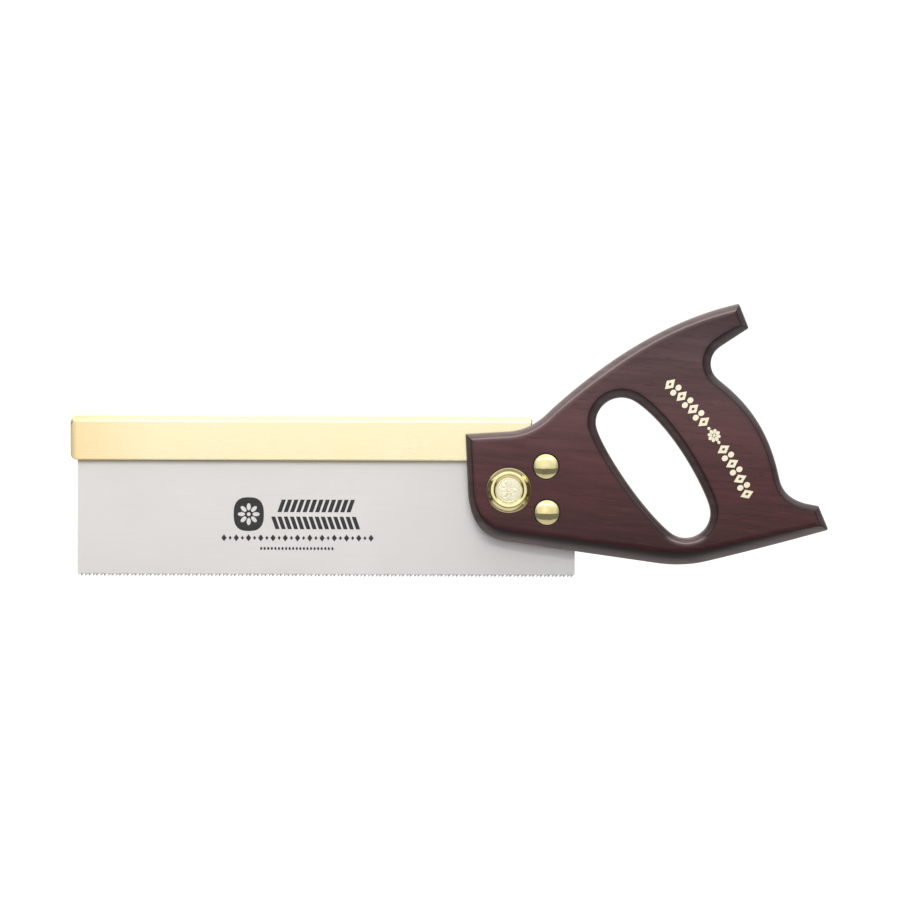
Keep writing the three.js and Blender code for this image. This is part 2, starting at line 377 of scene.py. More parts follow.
def add(tree, kind, inputs=None, **properties):
    """A shader node of this kind. Each input is a socket to link or a constant value."""
    node = tree.nodes.new("ShaderNode" + kind)
    for key, value in properties.items():
        setattr(node, key, value)
    for key, value in (inputs or {}).items():
        if isinstance(value, bpy.types.NodeSocket):
            tree.links.new(value, node.inputs[key])
        else:
            node.inputs[key].default_value = value
    return node


def stretched(tree, scale, tilt=0.0):
    """Object coordinates, turned about Y by tilt and then scaled, so that a texture draws out along X."""
    where = add(tree, "TexCoord")
    turned = add(tree, "VectorRotate", {"Vector": where.outputs["Object"], "Angle": tilt},
                 rotation_type="Y_AXIS")
    mapping = add(tree, "Mapping", {"Vector": turned.outputs["Vector"], "Scale": scale})
    return mapping.outputs["Vector"]


def noise(tree, vector, scale, detail=4.0, roughness=0.55, distortion=0.0):
    node = add(tree, "TexNoise", {"Vector": vector, "Scale": scale, "Detail": detail,
                                            "Roughness": roughness, "Distortion": distortion})
    return node.outputs["Fac"]


def ramp(tree, factor, stops):
    node = add(tree, "ValToRGB", {"Fac": factor})
    elements = node.color_ramp.elements
    while len(elements) < len(stops):
        elements.new(0.5)
    for element, (position, colour) in zip(elements, stops):
        element.position = position
        element.color = (*colour, 1.0) if len(colour) == 3 else colour
    return node.outputs["Color"]


def remap(tree, value, low, high, new_low=0.0, new_high=1.0):
    node = add(tree, "MapRange", {"Value": value, "From Min": low, "From Max": high,
                                            "To Min": new_low, "To Max": new_high})
    return node.outputs["Result"]


def math_node(tree, operation, a, b=0.0):
    return add(tree, "Math", {0: a, 1: b}, operation=operation).outputs[0]


def product(tree, a, b):
    return math_node(tree, "MULTIPLY", a, b)


def weighted_sum(tree, a, share_a, b, share_b):
    return math_node(tree, "ADD", product(tree, a, share_a), product(tree, b, share_b))


def object_axes(tree):
    """The object coordinates apart, as sockets named X, Y and Z."""
    where = add(tree, "TexCoord")
    return add(tree, "SeparateXYZ", {0: where.outputs["Object"]}).outputs


def mix_colour(tree, factor, a, b, blend="MIX"):
    node = tree.nodes.new("ShaderNodeMix")
    node.data_type = "RGBA"
    node.blend_type = blend
    for socket, value in ((node.inputs[0], factor), (node.inputs[6], a), (node.inputs[7], b)):
        if isinstance(value, bpy.types.NodeSocket):
            tree.links.new(value, socket)
        elif isinstance(value, tuple):
            socket.default_value = (*value, 1.0)
        else:
            socket.default_value = value
    return node.outputs[2]


def bump(tree, bsdf, height, strength, distance):
    node = add(tree, "Bump", {"Height": height, "Strength": strength, "Distance": distance})
    tree.links.new(node.outputs["Normal"], bsdf.inputs["Normal"])


def surface(tree, bsdf, colour, roughness):
    tree.links.new(colour, bsdf.inputs["Base Color"])
    tree.links.new(roughness, bsdf.inputs["Roughness"])


def brushed_metal(name, pale, deep, roughness, spread, scratch, across=0.0, along=(8.0, 1.0, 900.0),
                  tinted=None):
    """Metal ground or brushed along X: fine streaks in colour, roughness and bump, and soft smudges.
    across says how much more it scatters light up and down than along, and tinted is a function
    that changes the colour from place to place."""
    material, tree, bsdf = shader(name, metallic=1.0, anisotropic=across, anisotropic_rotation=0.25)
    if across:
        lay = add(tree, "Tangent", direction_type="RADIAL", axis="Z")
        tree.links.new(lay.outputs["Tangent"], bsdf.inputs["Tangent"])
    streaks = noise(tree, stretched(tree, along), 3.0, detail=6.0, roughness=0.7)
    smudges = noise(tree, stretched(tree, (14.0, 14.0, 20.0)), 2.0, detail=3.0)
    tone = weighted_sum(tree, streaks, 0.6, smudges, 0.4)
    colour = ramp(tree, tone, [(0.32, deep), (0.62, pale)])
    if tinted:
        colour = tinted(tree, colour)
    surface(tree, bsdf, colour, remap(tree, tone, 0.3, 0.7, roughness - spread, roughness + spread))
    bump(tree, bsdf, streaks, scratch, 0.00002)
    return material


BACK_SHADOW_REACH = 3.2  # how far the painted shadow under the back reaches down, in millimetres
BACK_SHADOW_COLOUR = (0.42, 0.37, 0.28)
HEEL_SHADE_FROM, HEEL_SHADE_TO = -110, -15  # where along the plate the painted shade from the handle grows, towards the heel
HEEL_SHADE_COLOUR = (0.62, 0.61, 0.6)
TEETH_SHADE_FROM, TEETH_SHADE_FULL = 1.6, 0.6  # heights where the painted shade on the teeth starts, and is fullest
TEETH_SHADE_COLOUR = (0.2, 0.2, 0.2)


def painted_plate_shade(tree, colour):
    """The plate: a painted shadow under the back, painted shade over the teeth, and painted shade greying it
    towards the heel.
    """
    axes = object_axes(tree)
    top = BACK_LOW.z
    back_shadow = math_node(tree, "POWER", remap(tree, axes["Z"], at_z(top - BACK_SHADOW_REACH), at_z(top)), 1.5)
    back_shadowed = mix_colour(tree, back_shadow, colour, BACK_SHADOW_COLOUR)
    dull_marks_and_heel_shade = remap(tree, axes["X"], at_x(HEEL_SHADE_FROM), at_x(HEEL_SHADE_TO), 0.0, 0.45)
    heel_shaded = mix_colour(tree, dull_marks_and_heel_shade, back_shadowed, HEEL_SHADE_COLOUR)
    dark = remap(tree, axes["Z"], at_z(TEETH_SHADE_FROM), at_z(TEETH_SHADE_FULL), 0.0, 0.75)
    return mix_colour(tree, dark, heel_shaded, TEETH_SHADE_COLOUR)


TOE_SHADE_REACH = 42  # how far the painted shade at the back's toe reaches, in millimetres
TOE_SHADE_COLOUR = (0.96, 0.72, 0.38)


def toe_shade(tree, colour):
    """The back: painted shade, warmer and darker towards the toe."""
    toe = BACK_LOW.x
    warm = remap(tree, object_axes(tree)["X"], at_x(toe), at_x(toe + TOE_SHADE_REACH), 0.85, 0.0)
    return mix_colour(tree, warm, colour, TOE_SHADE_COLOUR)


def polished_metal(name, pale, deep, roughness, dulling=0.25):
    """Buffed brass: faint clouding, a slightly wavy surface, hairline scratches and small dull marks."""
    material, tree, bsdf = shader(name, metallic=1.0)
    even = stretched(tree, (1.0, 1.0, 1.0))
    cloud = noise(tree, even, 260.0, detail=3.0)
    waves = noise(tree, even, 330.0, detail=2.0)
    hairs = noise(tree, stretched(tree, (900.0, 300.0, 90.0), tilt=0.7), 3.0, detail=3.0, roughness=0.7)
    marks = noise(tree, even, 900.0, detail=2.0)
    colour = ramp(tree, cloud, [(0.3, deep), (0.65, pale)])
    dull_marks_and_heel_shade = remap(tree, marks, 0.6, 0.7)
    shade = mix_colour(tree, product(tree, dull_marks_and_heel_shade, dulling), colour, deep)
    clouding = remap(tree, cloud, 0.3, 0.7, roughness * 0.7, roughness * 1.3)
    surface(tree, bsdf, shade, math_node(tree, "ADD", clouding, product(tree, dull_marks_and_heel_shade, 0.12)))
    relief = math_node(tree, "ADD", product(tree, hairs, 0.12), waves)
    bump(tree, bsdf, relief, 0.3, 0.0001)
    return material


# The wood's colour up the handle, by layout height, with painted shade and sheen in it: deep red and darker
# below, paler and greyer above.
WOOD_TONES_AND_HEIGHT_SHADE = [(12, (0.031, 0.0048, 0.0052)), (25, (0.069, 0.0195, 0.0205)), (50, (0.104, 0.032, 0.035)),
              (65, (0.132, 0.051, 0.053)), (105, (0.12, 0.063, 0.066)), (121, (0.106, 0.06, 0.064)),
              (134, (0.072, 0.04, 0.045))]
# Painted light on the rounded edges: sheen colours under, at the side, above and inward, and a dark line of
# painted shade or a painted highlight along the crease.
EDGE_SHEEN_UNDER, EDGE_SHEEN_SIDE = (0.17, 0.145, 0.136), (0.084, 0.067, 0.063)
EDGE_SHEEN_ABOVE, EDGE_SHEEN_INNER = (0.27, 0.21, 0.2), (0.2, 0.155, 0.148)
CREASE_SHADE_BELOW, CREASE_HIGHLIGHT_ABOVE = (0.008, 0.003, 0.003), (0.38, 0.275, 0.27)
SHADED_EDGES_ABOVE, SHADED_EDGES_BELOW = 23, 88  # heights between which the hole and grip edges keep painted shade, not the painted highlight
SHADED_EDGES_RISE = 0.3  # the upper limit climbs towards the heel by this slope
LIT_BELOW = (30, 45)  # edges that face down get painted light from below, growing paler from the second height down to the first
GRAIN_TILT = -0.1  # how far the grain leans from the saw's length, in radians


def wood_colours(tree, axes, grain, pores):
    """The stained wood: its tone by height, which holds painted shade and sheen, figure, broad clouds, red
    flecks and dark pores.
    Returns its colour, and the figure on its own."""
    broad = noise(tree, stretched(tree, (9.0, 12.0, 30.0), tilt=1.5 * GRAIN_TILT), 1.0, detail=3.0)
    flecks = noise(tree, stretched(tree, (90.0, 120.0, 1500.0), tilt=GRAIN_TILT), 1.0, detail=2.0,
                   roughness=0.5)
    low, high = WOOD_TONES_AND_HEIGHT_SHADE[0][0], WOOD_TONES_AND_HEIGHT_SHADE[-1][0]
    height = remap(tree, axes["Z"], at_z(low), at_z(high))
    body = ramp(tree, height, [((z - low) / (high - low), tone) for z, tone in WOOD_TONES_AND_HEIGHT_SHADE])
    figure = ramp(tree, grain, [(0.25, (0.7, 0.7, 0.7)), (0.5, (1.0, 1.0, 1.0)), (0.78, (1.3, 1.3, 1.3))])
    base = mix_colour(tree, 1.0, body, figure, "MULTIPLY")
    toned = mix_colour(tree, remap(tree, broad, 0.35, 0.7, 0.0, 0.45), base, (0.04, 0.012, 0.014))
    red = mix_colour(tree, remap(tree, flecks, 0.6, 0.72, 0.0, 0.3), toned, (0.2, 0.045, 0.045))
    dark = mix_colour(tree, remap(tree, pores, 0.62, 0.72, 0.0, 0.5), red, (0.012, 0.004, 0.004))
    return dark, figure


def shaded_edges(tree, axes):
    """How far a place's edges keep painted shade instead of the painted highlight: fully in the hand hole
    and on the grip.
    """
    level = math_node(tree, "SUBTRACT", axes["Z"], product(tree, axes["X"], SHADED_EDGES_RISE))
    limit = at_z(SHADED_EDGES_BELOW) - SHADED_EDGES_RISE * at_x(0)
    under = remap(tree, level, limit - 3 * MM, limit, 1.0, 0.0)
    over = remap(tree, axes["Z"], at_z(SHADED_EDGES_ABOVE - 5), at_z(SHADED_EDGES_ABOVE + 5))
    behind = remap(tree, axes["X"], at_x(-3), at_x(0))
    return product(tree, product(tree, under, over), behind)


def wood_slopes(tree):
    """How nearly the surface lies flat like a cheek, and how far its slope faces up."""
    facing = add(tree, "NewGeometry")
    split = add(tree, "SeparateXYZ", {0: facing.outputs["Normal"]})
    flatness = math_node(tree, "ABSOLUTE", split.outputs["Y"])
    square = math_node(tree, "POWER", flatness, 2.0)
    slope = math_node(tree, "SQRT", math_node(tree, "SUBTRACT", 1.0, square))
    upward = math_node(tree, "DIVIDE", split.outputs["Z"], math_node(tree, "MAXIMUM", slope, 0.02))
    return flatness, upward


def painted_edge_light(tree, axes, wood, figure):
    """Painted light on the rounded edges: a painted sheen makes them greyer than the flat cheeks.
    Where they face up they get a painted highlight, brightest along the crease. Where they face down,
    and in the hand hole and on the grip, the crease gets a dark line of painted shade."""
    flatness, upward = wood_slopes(tree)
    above = remap(tree, math_node(tree, "SUBTRACT", upward, shaded_edges(tree, axes)), 0.4, 0.75)
    low = remap(tree, axes["Z"], at_z(LIT_BELOW[0]), at_z(LIT_BELOW[1]), 1.0, 0.0)
    below = product(tree, remap(tree, upward, -0.9, -0.2, 1.0, 0.0), low)
    plain = mix_colour(tree, below, EDGE_SHEEN_SIDE, EDGE_SHEEN_UNDER)
    faded = mix_colour(tree, remap(tree, flatness, 0.35, 0.7), EDGE_SHEEN_ABOVE, EDGE_SHEEN_INNER)
    edge_sheen = mix_colour(tree, 1.0, mix_colour(tree, above, plain, faded), figure, "MULTIPLY")
    rounded = math_node(tree, "MINIMUM", remap(tree, flatness, 0.84, 0.96, 0.78, 0.0),
                        remap(tree, flatness, 0.02, 0.3, 0.3, 0.78))
    edge_sheened_wood = mix_colour(tree, rounded, wood, edge_sheen)
    # Painted highlight along the crease where the edge faces up, painted shade where it faces down.
    crease_highlight = remap(tree, flatness, 0.74, 0.88)
    shade = math_node(tree, "POWER", remap(tree, flatness, 0.7, 0.94), 1.5)
    reach = weighted_sum(tree, crease_highlight, above, shade, math_node(tree, "SUBTRACT", 1.0, above))
    band = math_node(tree, "MINIMUM", remap(tree, flatness, 1.0, 0.93, 0.0, 0.9), reach)
    return mix_colour(tree, band, edge_sheened_wood, mix_colour(tree, above, CREASE_SHADE_BELOW, CREASE_HIGHLIGHT_ABOVE))


def lacquered_wood(name):
    """Dark red-brown stained hardwood: long grain, short pores, red flecks, satin lacquer."""
    material, tree, bsdf = shader(name, coat_weight=0.35, coat_roughness=0.12, coat_ior=1.5,
                                  specular_ior_level=0.1, sheen_weight=0.1, sheen_roughness=0.4)
    axes = object_axes(tree)
    grain = noise(tree, stretched(tree, (22.0, 26.0, 330.0), tilt=GRAIN_TILT), 1.0, detail=4.0,
                  roughness=0.55, distortion=0.5)
    pores = noise(tree, stretched(tree, (150.0, 500.0, 2300.0), tilt=GRAIN_TILT), 1.0, detail=2.0)
    wood, figure = wood_colours(tree, axes, grain, pores)
    surface(tree, bsdf, painted_edge_light(tree, axes, wood, figure), remap(tree, grain, 0.3, 0.7, 0.38, 0.52))
    bump(tree, bsdf, weighted_sum(tree, grain, 0.6, pores, 0.4), 0.25, 0.00006)
    return material


def printed(name):
    """Dark print on the plate, thinned a little where the ground steel shows through."""
    material, tree, bsdf = shader(name)
    streaks = noise(tree, stretched(tree, (30.0, 1.0, 1500.0)), 2.0, detail=5.0)
    ink = ramp(tree, streaks, [(0.35, (0.014, 0.013, 0.014)), (0.75, (0.05, 0.046, 0.048))])
    surface(tree, bsdf, ink, remap(tree, streaks, 0.3, 0.7, 0.42, 0.6))
    bump(tree, bsdf, streaks, 0.2, 0.00001)
    return material


def gold_foil(name):
    """Hot-pressed foil: bright, slightly crinkled over the grain."""
    material, tree, bsdf = shader(name, metallic=0.9)
    crinkle = noise(tree, stretched(tree, (300.0, 300.0, 1400.0)), 1.0, detail=4.0)
    gold = ramp(tree, crinkle, [(0.3, (0.95, 0.84, 0.56)), (0.6, (1.0, 0.95, 0.76))])
    surface(tree, bsdf, gold, remap(tree, crinkle, 0.3, 0.7, 0.25, 0.45))
    bump(tree, bsdf, crinkle, 0.35, 0.00002)
    return material


STEEL = brushed_metal("ground_steel", (0.865, 0.84, 0.82), (0.81, 0.785, 0.76), 0.52, 0.04, 0.12,
                      across=0.8, tinted=painted_plate_shade)
# The filed facets are painted near black: painted shade on facets that face away from the light.
SHADED_FILED_STEEL = brushed_metal("filed_steel_painted_shade", (0.13, 0.127, 0.123), (0.09, 0.087, 0.083), 0.4, 0.05, 0.2,
                            along=(400.0, 20.0, 400.0))
BACK_BRASS = brushed_metal("folded_brass", (0.97, 0.875, 0.585), (0.93, 0.82, 0.51), 0.27, 0.05, 0.1,
                           tinted=toe_shade)
SCREW_BRASS = polished_metal("polished_brass", (0.86, 0.765, 0.415), (0.76, 0.65, 0.32), 0.05, dulling=0.4)
STRUCK_BRASS = polished_metal("struck_brass", (0.97, 0.92, 0.7), (0.9, 0.83, 0.58), 0.28, dulling=0.1)
WOOD = lacquered_wood("lacquered_hardwood")
PRINT = printed("blade_print")
FOIL = gold_foil("gold_foil")


# ---------------- saw plate

PLATE_HALF = PLATE_HIGH.y
TEETH_PER_INCH = 13
PITCH = 25.4 / TEETH_PER_INCH
TOOTH_RAKE = math.tan(math.radians(5))
TOOTH_BACK = math.tan(math.radians(55))
TOOTH_SLOPE = TOOTH_RAKE + TOOTH_BACK
LEAN = math.tan(math.radians(25)) * 2 * PLATE_HALF  # how far a filed face leans through the plate
GULLET = (PITCH + LEAN) / TOOTH_SLOPE  # height of the gullets above the tips
TOOTH_SET = 0.19  # each tip leans this far out of the plate, left and right in turn
TOE_NIP = Vector((1.0, 2.0))  # the toe's lower corner is taken off: width and height
SCREW_HOLES = ((MEDALLION, 3.25), (UPPER, 2.75), (LOWER, 2.75))  # centre and radius
CUT_REACH = 3.0  # the plate's cutters run this far to either side


def toothed_blank():
    """The plate with planar filed facets that lean alternately, and tips set to either side."""
    count = round((PLATE_HIGH.x - PLATE_LOW.x) / PITCH)
    verts, near_gullets, far_gullets, tips = [], [], [], []

    def vertex(x, y, z):
        verts.append((min(max(x, PLATE_LOW.x), PLATE_HIGH.x), y, z))
        return len(verts) - 1

    for i in range(count + 1):
        side = 1 if i % 2 else -1  # the side that this gullet's facets lean towards
        x = PLATE_LOW.x + i * PITCH
        near_gullets.append(vertex(x - side * LEAN / 2, -PLATE_HALF, GULLET))
        far_gullets.append(vertex(x + side * LEAN / 2, PLATE_HALF, GULLET))
    blunt = 2 * LEAN / TOOTH_SLOPE
    shift = blunt * (TOOTH_BACK - TOOTH_RAKE) / 2
    for i in range(count):
        side = 1 if i % 2 else -1
        x = PLATE_LOW.x + i * PITCH + GULLET * TOOTH_RAKE - LEAN / 2
        ends = {side: (x, 0.0), -side: (x + shift, blunt)}
        near_x, near_z = ends[-1]
        far_x, far_z = ends[1]
        push = side * TOOTH_SET
        tips.append((vertex(near_x, -PLATE_HALF + push, near_z), vertex(far_x, PLATE_HALF + push, far_z)))

    faces = []
    for i, (near_tip, far_tip) in enumerate(tips):
        near_a, near_b = near_gullets[i], near_gullets[i + 1]
        far_a, far_b = far_gullets[i], far_gullets[i + 1]
        faces += [(near_a, near_tip, near_b), (far_a, far_b, far_tip)]
        faces += [(near_a, far_a, far_tip, near_tip), (near_tip, far_tip, far_b, near_b)]
    near_toe, near_heel, far_toe, far_heel = [vertex(x, y, PLATE_HIGH.z) for y in (-PLATE_HALF, PLATE_HALF)
                                              for x in (PLATE_LOW.x, PLATE_HIGH.x)]
    faces.append(near_gullets + [near_heel, near_toe])
    faces.append(list(reversed(far_gullets)) + [far_toe, far_heel])
    faces.append((near_toe, near_heel, far_heel, far_toe))
    faces.append((near_gullets[0], near_toe, far_toe, far_gullets[0]))
    faces.append((near_gullets[-1], far_gullets[-1], far_heel, near_heel))
    piece = mesh_object("saw_plate_toothed", verts, faces)
    tidy_mesh(piece)
    return piece


def toe_wedge():
    """The cutter for the toe's lower corner. Its slant runs on past the tips by half as much again."""
    x = PLATE_LOW.x
    slant = [(x + 1.5 * TOE_NIP.x, -0.5 * TOE_NIP.y), (x, TOE_NIP.y)]
    outline = [(x - 1.0, 2 * TOE_NIP.y), (x - 1.0, -1.0)] + slant
    return prism("toe_nip", outline, -CUT_REACH, CUT_REACH)


def saw_plate():
    piece = toothed_blank()
    boolean(piece, toe_wedge(), "DIFFERENCE")
    for centre, radius in SCREW_HOLES:
        ends = [(0, -CUT_REACH), (radius, -CUT_REACH), (radius, CUT_REACH), (0, CUT_REACH)]
        boolean(piece, lathe("screw_hole", centre, ends, 48), "DIFFERENCE")
    finish_piece(piece, STEEL, "saw_plate", 20)
    # The filed facets take the darker steel, which is painted shade.
    piece.data.materials.append(SHADED_FILED_STEEL)
    for polygon in piece.data.polygons:
        if abs(polygon.normal.y) < 0.9 and polygon.center.z < at_z(GULLET):
            polygon.material_index = 1


saw_plate()


# ---------------- brass back

BACK_HALF = BACK_HIGH.y
BACK_INNER = PLATE_HALF + 0.03  # the fold pinches the plate
BACK_FOLD = 2.6  # thickness of the strip
TOE_CORNER = 2.8  # corner radius in side view
TOE_EASE, TOE_THIN = 3.2, 0.75  # the toe thins towards its end: over this length, by this much
TOE_BOW, BOW_REACH = 0.5, 12.0  # the toe's end is bowed by this much, over this length
REAR_EDGE = 0.9  # radius of the rounded rear end
LIP = 0.5  # radius of the strip's lower edges
CROWN_EXTRA = 1.5  # the folded strip is this much thicker at its crown
FOLD_HEIGHT = 3.3  # the rounded upper band, which leaves the flat side at a slight crease
FOLD_CREASE = math.radians(20)


def back_section(half, bottom, top):
    """The folded section: (y, z) points of one closed loop."""
    lip = [(half - LIP * (1 - math.sin(a)), bottom + LIP * (1 - math.cos(a)))
           for a in np.linspace(0, math.pi / 2, 5)]
    start = math.sin(FOLD_CREASE)
    fold = [(half * math.cos(a) / math.cos(FOLD_CREASE), top - FOLD_HEIGHT * (1 - math.sin(a)) / (1 - start))
            for a in np.linspace(FOLD_CREASE, math.pi / 2, 16)]
    outer = fold + [(-y, z) for y, z in reversed(fold[:-1])]
    inner_top = BACK_HIGH.z - BACK_FOLD - BACK_INNER - CROWN_EXTRA
    inner = [(-BACK_INNER * math.cos(a), inner_top + BACK_INNER * math.sin(a))
             for a in np.linspace(0, math.pi, 9)]
    right = [(BACK_INNER, bottom)] + lip
    left = [(-y, z) for y, z in reversed(lip)] + [(-BACK_INNER, bottom)]
    return right + outer + left + inner


def round_off(s, radius):
    """How far a corner of this radius falls short at s from its end."""
    return radius - math.sqrt(max(0.0, radius ** 2 - (radius - min(s, radius)) ** 2))


def back_stations(length):
    """(distance from the toe, how much thinner, how much shorter at the top and bottom)."""
    toe_steps = [TOE_CORNER * (1 - math.cos(a)) for a in np.linspace(0, math.pi / 2, 14)]
    rear_steps = [REAR_EDGE * (1 - math.cos(a)) for a in np.linspace(0, math.pi / 2, 7)]
    stations = [(s, TOE_THIN * max(0.0, 1 - s / TOE_EASE) ** 2, round_off(s, TOE_CORNER))
                for s in toe_steps + [TOE_EASE]]
    stations += [(s, 0.0, 0.0) for s in (BOW_REACH / 2, BOW_REACH, length / 2)]
    for s in reversed(rear_steps):
        stations.append((length - s, round_off(s, REAR_EDGE), round_off(s, REAR_EDGE)))
    return stations


def brass_back():
    middle = (BACK_LOW.z + BACK_HIGH.z) / 2
    half_height = (BACK_HIGH.z - BACK_LOW.z) / 2
    verts, rings = [], []
    for s, thin, short in back_stations(BACK_HIGH.x - BACK_LOW.x):
        section = back_section(BACK_HALF - thin, BACK_LOW.z + short, BACK_HIGH.z - short)
        rings.append(list(range(len(verts), len(verts) + len(section))))
        for y, z in section:
            bow = TOE_BOW * ((z - middle) / half_height) ** 2 * max(0.0, 1 - s / BOW_REACH)
            verts.append((BACK_LOW.x + s + bow, y, z))
    ends = [rings[0], list(reversed(rings[-1]))]
    piece = mesh_object("brass_back_folded", verts, ring_faces(rings) + ends)
    tidy_mesh(piece)
    finish_piece(piece, BACK_BRASS, "brass_back", 40)


brass_back()


# ---------------- handle

EDGE_DEPTH = 5.0  # how far the rounded edges run down the handle's side
EDGE_SLOPE = 0.42  # how steeply they start: 0 would be tangent to the cheek
EDGE_STEPS = 12
ARRIS_EDGE, ARRIS_CHEEK = 0.45, 1.9  # how far the crease is softened over the edge and over the cheek
OUTLINE_STEP = 1.3
CORNER_CLEAR = 6.5  # no outline points this close to a sharp corner
CHEEK_CORNER = 0.3  # outline radius of a sharp corner where it reaches the cheek


def handle_runs():
    """The outline's smooth stretches between sharp corners, clockwise from the nose's upper corner.
    Each is its curve, and the width of the rounded edge along it as (share of the way, width)."""
    upper_end, upper_tip = (83.4, 140.1), (88.4, 127.6)
    lower_end, lower_tip = (124.3, 37.0), (129.4, 24.8)
    web = arc((79.2, 109.4), 10.3, 130, 227)
    crown = [line((-56, 73.1), (-34, 74.4)), quad((-34, 74.4), (-22.3, 74.8), (-12, 86)),
             cubic((-12, 86), (14.5, 109.9), (45.7, 131.6), upper_end)]
    horn_end = [line(upper_end, upper_tip)]
    grip = [line(upper_tip, web[0]), web, cubic(web[-1], (90.3, 88.3), (99.5, 73.3), (104.2, 51)),
            cubic((104.2, 51), (105.4, 43.8), (110.7, 38.4), lower_end)]
    heel_end = [line(lower_end, lower_tip)]
    base = [quad(lower_tip, (98.2, 16), (66.6, 8.4)), quad((66.6, 8.4), (55, 5.7), (42, 7.5)),
            line((42, 7.5), (-36, 18.5)), cubic((-36, 18.5), (-46.5, 20), (-53, 27.3), (-54.6, 42)),
            line((-54.6, 42), (-56, 73.1))]
    return [(crown, [(0, 3.2), (0.3, 3.3), (0.5, 3.8), (0.75, 3.4), (1, 3.6)]),
            (horn_end, [(0, 3.6), (1, 3.6)]),
            (grip, [(0, 3.6), (0.1, 5), (0.2, 4.8), (0.35, 3.7), (0.5, 3.2), (0.8, 3.1), (1, 3.4)]),
            (heel_end, [(0, 3.4), (1, 3.4)]),
            (base, [(0, 3.4), (0.1, 5.6), (0.4, 6.7), (0.74, 6.4), (0.8, 4.4), (0.85, 3.3), (1, 3.1)])]


# Outline radius of each run's first corner: nose, upper horn twice, lower horn twice.
OUTER_CORNERS = (0.3, 1.2, 1.2, 1.2, 1.2)


def hand_hole():
    """The hand hole's curve, and its edge widths, clockwise from the top of its front side."""
    crown = oval_arc((23.2, 79.6), 13.0, 12.35, 25, 165, 25)
    foot = arc((56.6, 33), 12.7, 22, -130)
    curve = [crown, cubic(crown[-1], (48.4, 77.7), (63, 52.3), foot[0]), foot,
             cubic(foot[-1], (32.5, 37), (14, 65.6), crown[0])]
    return curve, [(0, 4.7), (0.15, 4.8), (0.3, 4.5), (0.5, 4.3), (0.6, 3.3), (0.75, 3.2), (1, 4.5)]


def joined(stretches):
    return np.concatenate([stretches[0]] + [s[1:] for s in stretches[1:]])


def widths_along(points, widths):
    along = lengths_along(points)
    return np.interp(along / along[-1], *zip(*widths))


def rounded_corner(corner, before, after, radius, steps=6):
    """Points round a corner between two directions, tangent to both."""
    turn = math.acos(max(-1.0, min(1.0, float(before @ after))))
    reach = radius * math.tan(turn / 2)
    start, end = corner - before * reach, corner + after * reach
    return [(1 - t) ** 2 * start + 2 * t * (1 - t) * corner + t * t * end
            for t in np.linspace(0, 1, steps)]


def run_points(stretches, widths):
    """A run's curve, directions inward and edge widths, the indices of the points that are kept
    away from its corners, and its directions at either end."""
    curve = faired(joined(stretches), closed=False)
    inward = -normals_left(curve, closed=False)
    along = lengths_along(curve)
    keep_from, keep_to = np.searchsorted(along, (CORNER_CLEAR, along[-1] - CORNER_CLEAR))
    keep = range(keep_from, keep_to, max(1, round(OUTLINE_STEP / (along[1] - along[0]))))
    first = (curve[2] - curve[0]) / np.linalg.norm(curve[2] - curve[0])
    last = (curve[-1] - curve[-3]) / np.linalg.norm(curve[-1] - curve[-3])
    return curve, inward, widths_along(curve, widths), keep, first, last


def outer_loops():
    """The handle's outline at mid-thickness, and where its rounded edge meets the cheek."""
    runs = [run_points(stretches, widths) for stretches, widths in handle_runs()]
    outline, cheek = [], []
    for i, (curve, inward, width, keep, first, _) in enumerate(runs):
        before = runs[i - 1][5]
        corner = curve[0]
        inward_before = np.array((before[1], -before[0]))
        mitre = (inward[0] + inward_before) * width[0] / (1 + float(inward[0] @ inward_before))
        outline += rounded_corner(corner, before, first, OUTER_CORNERS[i])
        cheek += rounded_corner(corner + mitre, before, first, CHEEK_CORNER)
        outline += [curve[k] for k in keep]
        cheek += [curve[k] + inward[k] * width[k] for k in keep]
    return np.array(outline), np.array(cheek)


def hole_loops():
    """The hand hole's outline at mid-thickness, and where its rounded edge meets the cheek."""
    stretches, widths = hand_hole()
    curve = faired(joined(stretches), closed=True)
    width = widths_along(curve, widths)
    stride = round(OUTLINE_STEP / FINE_STEP)
    pick = np.arange(0, len(curve) - stride // 2, stride)
    outward = normals_left(curve, closed=True)
    return curve[pick], (curve + outward * width[:, None])[pick]


def edge_levels(width):
    """The rounded edge's section for points with these widths, from the cheek to mid-thickness:
    at each step the share of the way from the outline to the cheek, and the depth below the cheek."""
    def depth(a):
        return EDGE_DEPTH * (EDGE_SLOPE * np.sin(a) + (1 - EDGE_SLOPE) * (1 - np.cos(a)))

    over, onto = ARRIS_EDGE / width, ARRIS_CHEEK / width
    leave = np.arcsin(over)
    drop = depth(leave)
    arris = [(1 + onto - (over + onto) * t, drop * t * t) for t in np.linspace(0, 1, 6)]
    angles = [leave + (math.pi / 2 - leave) * t for t in np.linspace(0, 1, EDGE_STEPS)[1:]]
    return arris + [(1 - np.sin(a), depth(a)) for a in angles]


